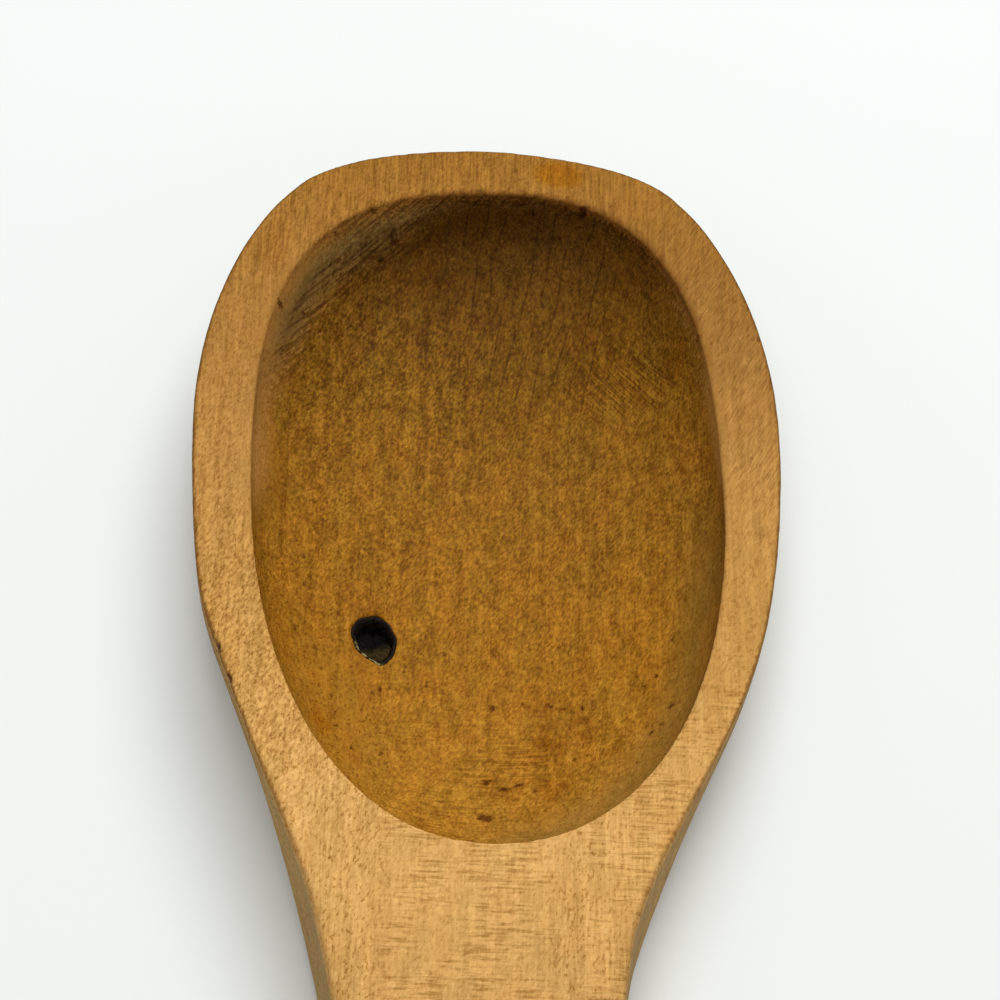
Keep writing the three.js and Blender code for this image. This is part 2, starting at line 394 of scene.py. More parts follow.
# Grain: (size of one cell in millimetres, turn in degrees, shift, detail, roughness)
GRAINS = {
    "fray": ((0.25, 1.2, 0.6), -35, 0, 1, 0.5),
    "cloud": ((9, 22, 9), 0, 0, 3, 0.5),
    "patch": ((3.2, 6, 3.2), 0, 13, 2, 0.5),
    "fibre": ((0.3, 4, 0.3), 0, 0, 2, 0.6),
    "streak": ((1.1, 18, 1.1), 0, 7, 2, 0.5),
    "blotch": ((1.3, 2.1, 1.3), 0, 2, 4, 0.65),
    "fleck": ((0.3, 0.6, 0.45), -26, 0, 2, 0.5),
    "hair": ((0.22, 1.8, 0.6), -28, 3, 1, 0.5),
    "curl": ((2.6, 0.3, 2.6), 0, 0, 1, 0.5),
    "curl_patch": ((6, 4, 6), 0, 11, 1, 0.5),
    "scratch": ((0.24, 5, 8), 37, 0, 1, 0.5),
    "drift": ((6, 40, 6), 0, 0, 1, 0.5),
    "gap": ((1.5, 7, 4), 0, 5, 1, 0.5),
    "stroke": ((0.28, 0.65, 0.45), -14, 9, 1, 0.5),
    "glint": ((0.24, 0.4, 0.3), 0, 21, 1, 0.5),
    "flame": ((0.8, 1.5, 0.8), -20, 0, 2, 0.5),
    "crumb": ((0.5, 0.5, 0.5), 0, 0, 2, 0.5),
    "bark": ((0.5, 0.5, 0.3), 0, 0, 4, 0.65),
    "bark_highlight": ((0.8, 0.8, 0.8), 0, 4, 2, 0.5),
    "core": ((0.6, 0.6, 0.6), 0, 2, 4, 0.65),
}

# Zones of the wood: (axis, where the zone begins, where it is full)
ZONES = {
    "tip": (("y", 112, 134),),
    "neck": (("y", 84, 58),),
    "right": (("x", 14, 24),),
    "right_rim": (("x", 4, 28), ("y", 92, 116), ("y", 142, 126)),
    "right_curl": (("x", 10, 13),),
    "near_left": (("x", -8, -16), ("y", 40, 52), ("y", 94, 76)),
    "near_left_floor": (("x", -9, -15), ("y", 84, 70)),
    "far_left": (("x", 3, -6), ("y", 98, 116)),
    "growth": (("y", 106, 118), ("x", -10, 0), ("x", 22, 13)),
}

# Middle strip of the neck: how far it lies to the left, and the half widths where it begins and is full
MIDDLE_SHIFT = 1
MIDDLE_HALF = (12, 7)

# Where a grain or a mask shows: the values at which it begins and is full
HOLLOW_SHOWS = (0.25, 0.75)
PATCH_SHOWS = (0.35, 0.65)
CURL_PATCH_SHOWS = (0.34, 0.54)
CURL_SHOWS = (0.56, 0.66)
GROWTH_SHOWS = (0.1, 0.02)
GAP_SHOWS = (0.28, 0.48)
GOUGE_SHOWS = (0.48, 0.62)
STROKE_SHOWS = (0.59, 0.67)
GLINT_SHOWS = (0.6, 0.7)
MARK_SHOWS = (0.32, 0.75)
MARK_KEEPS = (0.12, 0.3)

# Strength of a grain along the spoon or across it: (place, place, strength at the first, at the second)
FRAY_FAR = (100, 118, 0, 1.6)
FLECK_NEAR = (46, 62, 0.9, 2.0)
FLECK_LOST_FAR = (76, 104, 0, 0.7)
FLECK_RIGHT = (6, 20, 1, 0.3)
FLECK_HOLLOW = (66, 100, 1.5, 2.0)
HAIR_FAR = (78, 100, 0.3, 1.5)
BLOTCH_HOLLOW = (74, 106, 1.2, 1.6)
STROKE_FAR = (60, 112, 0.8, 0.5)
STROKE_RIGHT = (10, 18, 1, 0.7)

# Strength by the value of a mask or a grain: (value, value, strength at the first, at the second)
SMOOTHED = (0, 0.4, 1, 0.5)
FLAME = (0.38, 0.54, 0.35, 1)

# Strength of a grain by itself, or outside and inside a zone
CLOUD_STRENGTH = 0.04
PATCH_HOLLOW = (0.4, 1)
FLECK_NEAR_LEFT = 0.4
FIBRE_TIP = (1.1, 2.1)
FIBRE_HOLLOW = (1, 0.6)
FIBRE_RIGHT = (1, 0.6)
FIBRE_MIDDLE = (1, 0.5)
STREAK_STRENGTH = 0.7
BLOTCH_RIM = 0.5
CURL_STRENGTH = 2.2
CURL_RIGHT = 0.9
CURL_HOLLOW = (1, 0.5)
CURL_STROKE = 0.35
SCRATCH_STRENGTH = 2.1
STROKE_MIDDLE = (1, 0.5)
GLINT_HOLLOW = (0.3, 0.4)

# Bolder figure in the hollow: its strength on the floor, at the far left and at the tip, and the tip's place
BOLD_STRENGTH = 0.5
BOLD_FAR_LEFT_STRENGTH = 0.9
BOLD_TIP_STRENGTH = 0.3
BOLD_TIP_Y = (122, 132)

# Growth and gouge lines, scattered specks as soft dots, crumbling marks
GROWTH_CELL = (2.2, 60, 2.2)
GROWTH_TURN = -12
GROWTH_DRIFT = 1.2
GROWTH_STRENGTH = 0.75
GOUGE_LENGTHWISE = (0.07, 0.09, 0)
GOUGE_ACROSS = (-1.5, 1.4, 0.9)
GOUGE_STRENGTH = 0.95
SPECK_CELL = (2.2, 3.4, 2.2)
SPECK_RADIUS = 0.15
SPECK_SHARE = 0.35
DOT_CORE = 0.5
DOT_STEP = 0.02
SPECK_STRENGTH = 0.6
MARK_CRUMBLE = 1.1
LINE_MARK = 0.7
MARK_STRENGTH = 0.85

# Surface of the wood: roughness on the rim and in the hollow, relief in millimetres, gloss
WOOD_ROUGHNESS = (0.7, 0.65)
WOOD_ROUGHNESS_FIGURE = 0.1
WOOD_RELIEF = 0.05
MARK_RELIEF = -0.7
STROKE_RELIEF = -0.3
WOOD_GLOSS = 0.06

# Bark, with a painted highlight on its edge towards the near left: colours, where they show, and its surface
BARK_DARK = (0.004, 0.003, 0.002)
BARK_BROWN = (0.022, 0.012, 0.005)
BARK_HIGHLIGHT = (0.3, 0.24, 0.09)
BARK_BROWN_SHOWS = (0.4, 0.65)
BARK_HIGHLIGHT_SHOWS = (0.45, 0.58)
BARK_HIGHLIGHT_SIDE = (-0.62, -0.78, 0)
BARK_HIGHLIGHT_REACH = (1.3, 2.2)
BARK_ROUGHNESS = (0.3, 0.7, 0.5, 0.85)
BARK_RELIEF = 0.25
BARK_GLOSS = 0.15

# Dead branch, brown towards the near right: partly its own colour, partly painted light on its lit side
CORE_DARK = (0.003, 0.002, 0.002)
CORE_LIT_BROWN = (0.05, 0.03, 0.007)
CORE_LIT_BROWN_SHOWS = (0.35, 0.6, 0.35, 1)
CORE_LIT_SIDE = (0.5, -0.86, 0)
CORE_LIT_REACH = (-0.2, 1.4)
CORE_ROUGHNESS = (0.3, 0.7, 0.5, 0.8)
CORE_RELIEF = 0.3
CORE_GLOSS = 0.08

# Camera, from the photograph
CAMERA_AT = (-7.33, -71.48, 277.95)
CAMERA_AXIS = (0.0294, 0.5291, -0.8480)
CAMERA_UP = (-0.0374, 0.8484, 0.5280)
LENS = 93.06
SENSOR = 36
CLIP_START = 0.01

# Lamps: (name, direction from the bowl, size in metres, power in watts), and where they point
LAMPS = (
    ("back_lamp", (0.15, 0.5, 0.85), 0.75, 6.5),
    ("top_lamp", (-0.1, -0.2, 0.95), 0.5, 2.5),
)
LAMP_BACK = LENGTH / 4

# Sky and white table
SKY_COLOUR = (0.95, 0.97, 1.0, 1)
SKY_STRENGTH = 0.3
TABLE_HALF = 3
TABLE_COLOUR = (0.89, 0.92, 0.895, 1)
TABLE_ROUGHNESS = 0.8
TABLE_GLOSS = 0.2


def lerp(a, b, share):
    return a + (b - a) * share


def between(first, second, share):
    """Pair of values that lies between two pairs."""
    return [lerp(a, b, share) for a, b in zip(first, second)]


def smoothstep(value, low, high):
    share = np.clip((np.asarray(value, float) - low) / (high - low), 0, 1)
    return share * share * (3 - 2 * share)


def fall(value, low, high):
    return 1 - smoothstep(value, low, high)


def y_at(back):
    return LENGTH / 2 - back


def bezier(points, count):
    a, b, c, d = np.array(points, float)
    t = np.linspace(0, 1, count + 1)[:, None]
    return (1 - t) ** 3 * a + 3 * (1 - t) ** 2 * t * b + 3 * (1 - t) * t ** 2 * c + t ** 3 * d


# The blank's lengthwise profile
def neck_blend(back):
    return smoothstep(back, BLEND_START_BACK, BLEND_END_BACK)


def droop(back):
    return smoothstep(back, NECK_BACK, LENGTH - END_FOOT)


def top_height(back):
    return lerp(RIM_HEIGHT, END_HEIGHT, droop(back))


def bottom_height(back):
    return NECK_RISE * neck_blend(back) * (1 - droop(back))


def centre_line(back):
    return BOWL_LEAN * (back - WIDEST_BACK) * fall(back, LEAN_START_BACK, LEAN_END_BACK)


def nearest_foot(back):
    """Nearest place of the foot line, which runs under the middle of the bowl and of the handle."""
    return np.clip(back, WIDEST_BACK, LENGTH - END_WIDTH / 2)


def bulge(back, middle, reach, full):
    return full * np.exp(-((back - middle) / reach) ** 2)


def fuller(back, across):
    """How far each side stands out from the true outline."""
    left = bulge(back, *FULL_LEFT)
    neck = FULL_NECK * smoothstep(back, *FULL_NECK_START_BACK) * fall(back, *FULL_NECK_END_BACK)
    right = bulge(back, *FULL_RIGHT) + neck
    return np.where(across > 0, right, -left) * (across != 0)


def half_outline():
    """Half of the plan outline, from tip to handle end, as (back, half width)."""
    half = END_WIDTH / 2
    shoulder = (SHOULDER_BACK, SHOULDER_WIDTH / 2)
    widest = (WIDEST_BACK, BOWL_WIDTH / 2)
    neck = (NECK_BACK, NECK_WIDTH / 2)
    end = (LENGTH - END_ROUND, half)
    tip = bezier([(0, 0), (0, 0), (0, TIP_STRAIGHT / 2), shoulder], TIP_STEPS)
    pulled = (SHOULDER_BACK + SHOULDER_PULL, SHOULDER_WIDTH / 2 + SHOULDER_PULL)
    side = bezier([shoulder, pulled, (WIDEST_BACK - WIDEST_PULL, BOWL_WIDTH / 2), widest], SIDE_STEPS)
    flare_out = (WIDEST_BACK + FLARE_PULL, BOWL_WIDTH / 2)
    flare = bezier([widest, flare_out, (NECK_BACK - NECK_PULL, NECK_WIDTH / 2), neck], FLARE_STEPS)
    neck_out = (NECK_BACK + HANDLE_PULL, NECK_WIDTH / 2)
    handle = bezier([neck, neck_out, (end[0] - HANDLE_PULL, half), end], HANDLE_STEPS)
    angle = np.linspace(math.pi / 2, 0, CAP_STEPS + 1)
    cap = np.c_[end[0] + END_ROUND * np.cos(angle), half * np.sin(angle)]
    return np.vstack([tip, side[1:], flare[1:], handle[1:], cap[1:]])


def blank_rings():
    """Edge profile of the blank, ring by ring, from the underside's centre line to the top's."""
    half = half_outline()
    back = np.r_[half[:, 0], half[-2:0:-1, 0]]
    across = np.r_[-half[:, 1], half[-2:0:-1, 1]]
    across += fuller(back, across)
    foot_back = nearest_foot(back)
    edge = np.c_[centre_line(back) + across, y_at(back)]
    foot = np.c_[centre_line(foot_back), y_at(foot_back)]
    inward = (foot - edge) / np.linalg.norm(foot - edge, axis=1)[:, None]
    top = top_height(foot_back)
    bottom = bottom_height(foot_back)
    blend = neck_blend(back)
    rise = lerp(RIM_HEIGHT - BOWL_EDGE, HANDLE_ROUND, blend)
    undercut = lerp(BOWL_UNDERCUT, HANDLE_ROUND, blend)
    ease = lerp(BOWL_EASE, HANDLE_EASE, blend)
    lean = HANDLE_LEAN * blend

    def ring(inset, height):
        return np.c_[edge + inward * inset[:, None], height]

    rings = [np.c_[foot, bottom]]
    for angle in np.linspace(0, math.pi / 2, UNDERCUT_STEPS + 1):
        rings.append(ring(undercut * (1 - math.sin(angle)), bottom + rise * (1 - math.cos(angle))))
    for angle in np.linspace(0, math.pi / 2, EASE_STEPS + 1):
        rings.append(ring(lean + ease * (1 - math.cos(angle)), top - ease * (1 - math.sin(angle))))
    rings.append(np.c_[foot, top])
    return rings


def hollow_profile(share):
    """Half width and depth of the hollow at a share of its length: 1 at the far end, -1 at the near end."""
    far = share > 0
    plan = np.where(far, FAR_PLAN_POWER, NEAR_PLAN_POWER)
    deep = np.where(far, FAR_DEPTH_POWER, NEAR_DEPTH_POWER)
    away = np.clip(np.abs(share), 0, 1)
    width = HOLLOW_WIDTH / 2 * (1 - away ** plan) ** (1 / plan)
    depth = (RIM_HEIGHT - FLOOR) * np.sqrt(1 - away ** deep)
    return width, depth


def hollow_reach(share):
    return np.where(share > 0, HOLLOW_WIDEST, HOLLOW_LENGTH - HOLLOW_WIDEST)


def to_spoon(x, y):
    """Turns a point of the hollow's own plan into the spoon's frame."""
    cos, sin = math.cos(HOLLOW_TURN), math.sin(HOLLOW_TURN)
    return x * cos - y * sin + HOLLOW_SHIFT, x * sin + y * cos + y_at(TIP_RIM + HOLLOW_WIDEST)


def to_hollow(x, y):
    """Turns a point of the spoon's frame into the hollow's own plan."""
    cos, sin = math.cos(HOLLOW_TURN), math.sin(HOLLOW_TURN)
    x, y = x - HOLLOW_SHIFT, y - y_at(TIP_RIM + HOLLOW_WIDEST)
    return x * cos + y * sin, y * cos - x * sin


def hollow_depth(x, y, grow=0.0):
    """Depth of the hollow below the rim at points of the spoon's frame, 0 outside it."""
    across, along = to_hollow(x, y)
    share = np.clip(along / (hollow_reach(along) + grow), -1, 1)
    width, depth = hollow_profile(share)
    return depth * np.sqrt(np.clip(1 - (across / np.maximum(width + grow, LEAST_WIDTH)) ** 2, 0, 1))


def hollow_rings():
    angle = np.linspace(0, math.pi, ARC_STEPS + 1)
    rings = []
    for share in np.cos(np.linspace(0, math.pi, HOLLOW_STEPS + 1)):
        width, depth = hollow_profile(share)
        x = np.r_[-width * np.cos(angle), width, -width]
        z = np.r_[-depth * np.sin(angle), HOLLOW_LID, HOLLOW_LID] + RIM_HEIGHT
        x, y = to_spoon(x, share * hollow_reach(share))
        rings.append(np.c_[x, y, z])
    return rings


def knot_ring(scale, height):
    """Irregular oval round the knot's axis."""
    angle = np.linspace(0, 2 * math.pi, KNOT_STEPS, endpoint=False)
    wobble = sum(share * np.sin(waves * angle + phase) for share, waves, phase in KNOT_WAVES)
    radius = scale * (1 + wobble)
    x = KNOT_X + radius * KNOT_WIDTH / 2 * np.cos(angle)
    y = y_at(KNOT_BACK) + radius * KNOT_LENGTH / 2 * np.sin(angle)
    return np.c_[x, y, np.full(KNOT_STEPS, height)]


def link(name, data):
    """New object of the scene."""
    piece = bpy.data.objects.new(name, data)
    bpy.context.scene.collection.objects.link(piece)
    return piece


def skin(name, rings, capped=False):
    """Closed mesh object over a stack of rings wound anticlockwise seen from the last one."""
    count = len(rings[0])
    faces = []
    for i in range(len(rings) - 1):
        for j in range(count):
            a, b = i * count + j, i * count + (j + 1) % count
            faces.append((a, b, b + count, a + count))
    if capped:
        faces.append(tuple(range(count))[::-1])
        faces.append(tuple(range((len(rings) - 1) * count, len(rings) * count)))
    mesh = bpy.data.meshes.new(name)
    mesh.from_pydata(np.vstack(rings) * MM, [], faces)
    work = bmesh.new()
    work.from_mesh(mesh)
    bmesh.ops.remove_doubles(work, verts=work.verts, dist=WELD)
    bmesh.ops.dissolve_degenerate(work, edges=work.edges, dist=SLIVER)
    work.to_mesh(mesh)
    work.free()
    return link(name, mesh)


def baked(piece):
    """Applies a piece's modifiers."""
    graph = bpy.context.evaluated_depsgraph_get()
    mesh = bpy.data.meshes.new_from_object(piece.evaluated_get(graph))
    piece.modifiers.clear()
    piece.data = mesh


def discard(piece):
    bpy.data.objects.remove(piece, do_unlink=True)


def carve(piece, cutter):
    cut = piece.modifiers.new("cut", "BOOLEAN")
    cut.operation = "DIFFERENCE"
    cut.solver = "MANIFOLD"
    cut.object = cutter
    baked(piece)
    discard(cutter)


def numbers(items, name, width, kind=float):
    """One property of every item, as the rows of an array."""
    flat = np.empty(len(items) * width, kind)
    items.foreach_get(name, flat)
    return flat.reshape(-1, width)


def coordinates(mesh):
    return numbers(mesh.vertices, "co", 3) / MM


def normals(mesh):
    return numbers(mesh.vertices, "normal", 3)


def uneven(points, size, seed):
    """Smooth noise from -1 to 1 at each point, with lumps of the given size."""
    places = points / size + seed * SEED_STEP
    return np.array([noise.noise(Vector(place)) for place in places])


def store(mesh, name, values):
    """Keeps one number for each vertex, for the material to read."""
    mesh.attributes.new(name, "FLOAT", "POINT").data.foreach_set("value", values.astype(np.float32))


def spots(points, marks):
    """Soft oval spots: (x, y, half width, half length, turn in degrees, strength)."""
    total = np.zeros(len(points))
    for x, y, wide, long, turn, strength in marks:
        cos, sin = math.cos(math.radians(turn)), math.sin(math.radians(turn))
        dx, dy = points[:, 0] - x, points[:, 1] - y
        across, along = dx * cos + dy * sin, dy * cos - dx * sin
        total = np.maximum(total, strength * np.exp(-((across / wide) ** 2 + (along / long) ** 2)))
    return total


class Place:
    """Where points lie in the hollow, in millimetres, and their shares in its parts."""

    def __init__(self, points):
        self.below = RIM_HEIGHT - points[:, 2]
        self.depth = hollow_depth(points[:, 0], points[:, 1], HOLLOW_MARGIN)
        self.inside = (self.depth > 0) & (self.below < self.depth + WALL_MARGIN)
        self.across, self.along = to_hollow(points[:, 0], points[:, 1])
        self.far = smoothstep(self.along, *FAR_ALONG)
        self.near = fall(self.along, *NEAR_END_ALONG)
        self.left = smoothstep(-self.across, *LEFT_SIDE)
        self.right = smoothstep(self.across, *RIGHT_SIDE)


def wall_fullness(at):
    """How far the hollow's walls stand in from the true hollow."""
    left = FULL_LEFT_WALL * at.far * at.left
    right = FULL_RIGHT_WALL * smoothstep(at.across, *FULL_RIGHT_ACROSS)
    right *= smoothstep(at.along, *FULL_RIGHT_START_ALONG) * fall(at.along, *FULL_RIGHT_END_ALONG)
    height = smoothstep(at.below, *FULL_TOP_BELOW) * fall(at.below, *FULL_FOOT_BELOW)
    return at.inside * (left + right) * height


def roughen(mesh):
    """Hand-carved unevenness, less steep walls and chipped places."""
    points = coordinates(mesh)
    lumps = sum(height * uneven(points, size, seed) for seed, (size, height) in enumerate(LUMPS, 1))
    sink = np.maximum(LUMP_PEAK - lumps, 0) - wall_fullness(Place(points))
    for x, y, z, radius, deep in NICKS:
        away = np.linalg.norm(points - (x, y, z), axis=1)
        sink += deep * np.exp(-(away / radius) ** 2)
    sink *= smoothstep(points[:, 2], *LUMP_RISE)
    points -= normals(mesh) * sink[:, None]
    points[:, 2] = np.maximum(points[:, 2], 0)
    mesh.vertices.foreach_set("co", (points * MM).ravel())
    mesh.update()


def ragged_depth(points, at):
    """Depth below the rim, uneven at the far end."""
    amount = lerp(RAGGED_RIGHT, RAGGED_LEFT, at.left) * at.far
    return at.below + amount * uneven(points, RAGGED_SIZE, RAGGED_SEED)


def dark_wood(at, ragged):
    """Share of the hollow's dark wood."""
    # At the far left the dark wood starts deeper, leaving the rim's paler colour on the steep wall as
    # painted light
    far_edge = between(DARK_FAR_RIGHT_BELOW, DARK_FAR_LEFT_BELOW_PAINTED_LIGHT, at.left)
    return at.inside * smoothstep(ragged, *between(DARK_NEAR_BELOW, far_edge, at.far))


def use_masks(at, dark):
    """The hollow's dark wood, and where use has worn or greyed it."""
    worn = lerp(WORN_RIGHT, WORN_LEFT, at.left) * (1 - at.near) * fall(at.along, *WORN_END_ALONG)
    worn *= fall(at.below, *between(WORN_RIGHT_BELOW, WORN_LEFT_BELOW, at.left))
    greyed = dark * at.near * smoothstep(at.across, *GREYED_ACROSS) * fall(at.below, *GREYED_END_BELOW)
    smooth = np.maximum(at.inside * worn, GREYED_SMOOTH * greyed)
    return {"hollow": dark * (1 - worn), "smooth": smooth, "greyed": greyed}


def far_wall_masks(points, at, ragged, dark):
    """Grey band, partly painted light, painted shade under the far edge, caked dirt and gouge marks on the
    hollow's far wall, and dirt above it.
    """
    # Grey band: partly the wall's own grey, partly painted light lifting its shade
    wall = at.inside * at.far * lerp(WALL_GREY_AND_LIGHT_RIGHT, 1, at.left)
    wall *= smoothstep(ragged, *between(WALL_GREY_AND_LIGHT_RIGHT_TOP_BELOW, WALL_GREY_AND_LIGHT_LEFT_TOP_BELOW, at.left))
    wall *= fall(at.below, *between(WALL_GREY_AND_LIGHT_RIGHT_FOOT_BELOW, WALL_GREY_AND_LIGHT_LEFT_FOOT_BELOW, at.left))
    wall *= fall(at.across, *WALL_GREY_AND_LIGHT_END_ACROSS)
    # Painted shade: a darker band under the hollow's far edge
    far_edge_shade = dark * smoothstep(at.along, *FAR_EDGE_SHADE_ALONG) * lerp(1, FAR_EDGE_SHADE_RIGHT, at.right)
    far_edge_shade *= smoothstep(at.below, *between(FAR_EDGE_SHADE_LEFT_TOP_BELOW, FAR_EDGE_SHADE_RIGHT_TOP_BELOW, at.right))
    far_edge_shade *= fall(at.below, *FAR_EDGE_SHADE_FOOT_BELOW) * fall(-at.across, *FAR_EDGE_SHADE_END_LEFT)
    caked = at.inside * at.far * lerp(1, CAKED_RIGHT, at.right) * fall(-at.across, *CAKED_END_LEFT)
    caked *= smoothstep(ragged, *CAKED_TOP_BELOW) * fall(at.below, *CAKED_FOOT_BELOW)
    gouged = dark * at.far * at.left * smoothstep(at.below, *GOUGED_TOP_BELOW)
    gouged *= fall(at.below, *GOUGED_FOOT_BELOW)
    dirt = at.inside * at.far * lerp(1, DIRT_LEFT, at.left) * (1 - dark)
    dirt *= smoothstep(at.depth + DIRT_ROUGH * uneven(points, DIRT_SIZE, DIRT_SEED), *DIRT_DEPTH)
    return {"wall": wall, "far_edge_shade": far_edge_shade, "caked": caked, "gouged": gouged, "dirt": dirt}


def outside_masks(points, facing, at):
    """Darker outer sides, and the bowl's outer edge darkened partly by dirt and partly by painted shade."""
    outside = 1 - at.inside
    side = outside * smoothstep(at.below, *OUTER_SIDE_BELOW) * smoothstep(points[:, 1], *OUTER_SIDE_Y)
    # Outer edge: darker where its rounding turns away, partly dirt and partly painted shade
    edge = outside * smoothstep(1 - facing[:, 2], *OUTER_EDGE_DIRT_AND_SHADE_SLOPE) * fall(at.below, *OUTER_EDGE_DIRT_AND_SHADE_END_BELOW)
    return {"side": side, "edge": edge * smoothstep(points[:, 1], *OUTER_EDGE_DIRT_AND_SHADE_Y)}


def stain_masks(points, at):
    """Marks and stains that have a place of their own."""
    top = at.inside | (at.below < TOP_BELOW)
    return {
        "mark": top * spots(points, DARK_MARKS),
        "brown": top * spots(points, BROWN_STAINS),
        "amber": top * smoothstep(spots(points, AMBER_STAINS), *AMBER_EDGE),
        "scratched": at.inside * spots(points, SCRATCHED),
        "rippled": at.inside * spots(points, RIPPLED),
    }


def lay_masks(mesh):
    """Stores the masks that the wood material reads."""
    points = coordinates(mesh)
    at = Place(points)
    ragged = ragged_depth(points, at)
    dark = dark_wood(at, ragged)
    masks = use_masks(at, dark)
    masks.update(far_wall_masks(points, at, ragged, dark))
    masks.update(outside_masks(points, normals(mesh), at))
    masks.update(stain_masks(points, at))
    for name, values in masks.items():
        store(mesh, name, values)


def flattened(mesh):
    """Each vertex laid flat, as seen from above and from below, with the steep walls and sides spread."""
    points = coordinates(mesh)
    plan = points[:, :2]
    depth = hollow_depth(points[:, 0], points[:, 1], HOLLOW_MARGIN)
    upper = normals(mesh)[:, 2] > np.where(depth > 0, -MAP_STEEP, MAP_STEEP)
    middle = np.array(to_spoon(0, 0))
    sunk = MAP_SINK * np.minimum(RIM_HEIGHT - points[:, 2], depth) / (RIM_HEIGHT - FLOOR)
    above = middle + (plan - middle) * (1 - sunk[:, None])
    foot_back = nearest_foot(y_at(points[:, 1]))
    outward = plan - np.c_[centre_line(foot_back), y_at(foot_back)]
    outward /= np.maximum(np.linalg.norm(outward, axis=1), 1)[:, None]
    under = plan + outward * MAP_SPREAD * points[:, 2:]
    return above, under, upper, points[:, 1] > MAP_CUT


def lay_map(mesh):
    """Texture map with the bowl and the handle laid out from above and from below."""
    above, under, upper, bowl = flattened(mesh)
    vertex = numbers(mesh.loops, "vertex_index", 1, np.int32)[:, 0]
    start = numbers(mesh.polygons, "loop_start", 1, np.int32)[:, 0]
    count = numbers(mesh.polygons, "loop_total", 1, np.int32)[:, 0]
    lead = np.repeat(vertex[start], count)
    places = np.where(upper[lead][:, None], above[vertex], under[vertex])
    for is_upper, is_bowl, corner, size in MAP_AREAS:
        chosen = (upper[lead] == is_upper) & (bowl[lead] == is_bowl)
        flat = places[chosen] if is_bowl else places[chosen][:, ::-1]
        share = (flat - flat.min(axis=0)) / np.ptp(flat, axis=0)
        places[chosen] = np.array(corner) + share * size
    mesh.uv_layers.new(name=MAP_NAME).uv.foreach_set("vector", places.astype(np.float32).ravel())


def carved_spoon():
    """Blank with the hollow and the knot's seat cut out."""
    exact = skin("spoon_exact", blank_rings())
    carve(exact, skin("hollow_cut", hollow_rings()))
    seat = [knot_ring(SEAT_TAPER, KNOT_FLOOR), knot_ring(1, RIM_HEIGHT)]
    carve(exact, skin("seat_cut", seat, capped=True))
    return exact


def spoon_body():
    """The carved spoon as an even fine mesh with worn edges."""
    exact = carved_spoon()
    body = link("spoon_wood", exact.data.copy())
    remesh = body.modifiers.new("even", "REMESH")
    remesh.mode = "VOXEL"
    remesh.voxel_size = VOXEL * MM
    wrap = body.modifiers.new("wrap", "SHRINKWRAP")
    wrap.target = exact
    wrap.wrap_method = "NEAREST_SURFACEPOINT"
    smooth = body.modifiers.new("worn", "SMOOTH")
    smooth.iterations = SMOOTHING
    smooth.factor = SMOOTH_FACTOR
    baked(body)
    discard(exact)
    roughen(body.data)
    lay_masks(body.data)
    lay_map(body.data)
    body.data.shade_smooth()
    return body


def surface_ring(scale, sunk, lumpy, seed):
    """Knot ring that follows the hollow's surface at a depth below it."""
    ring = knot_ring(scale, 0)
    ring[:, 2] = RIM_HEIGHT - hollow_depth(ring[:, 0], ring[:, 1]) - sunk
    ring[:, 2] += lumpy * uneven(ring, KNOT_LUMP, seed)
    return ring


def foot_rings(scales):
    """Rings at the foot of the knot's pieces, just above the floor of its seat."""
    return [knot_ring(scale, KNOT_FLOOR + KNOT_LIFT) for scale in scales]


def knot_bark():
    """Rough ring of bark round the dead branch."""
    outer, inner = foot_rings(BARK_FOOT)
    middle = [surface_ring(*ring, BARK_SEED) for ring in BARK_RINGS]
    bark = skin("knot_bark_ring", [outer, *middle, inner, outer])
    bark.data.shade_smooth()
    return bark


def knot_core():
    """Cracked stub of the dead branch, sunk deepest at its far side."""
    rings = foot_rings(CORE_FOOT)
    for scale in CORE_SCALES:
        ring = surface_ring(scale, CORE_SUNK, CORE_UNEVEN, CORE_SEED)
        along = ring[:, 1] - y_at(KNOT_BACK)
        crack = np.abs(ring[:, 0] - KNOT_X - CRACK_SWING * np.sin(CRACK_WAVE * along))
        ring[:, 2] -= CORE_SLOPE * along
        ring[:, 2] -= CRACK_DEPTH * np.exp(-(crack / CRACK_WIDTH) ** 2)
        rings.append(ring)
    rings.append(np.repeat(rings[-1].mean(axis=0)[None], len(rings[0]), axis=0))
    core = skin("knot_core_stub", rings)
    core.data.shade_smooth()
    return core


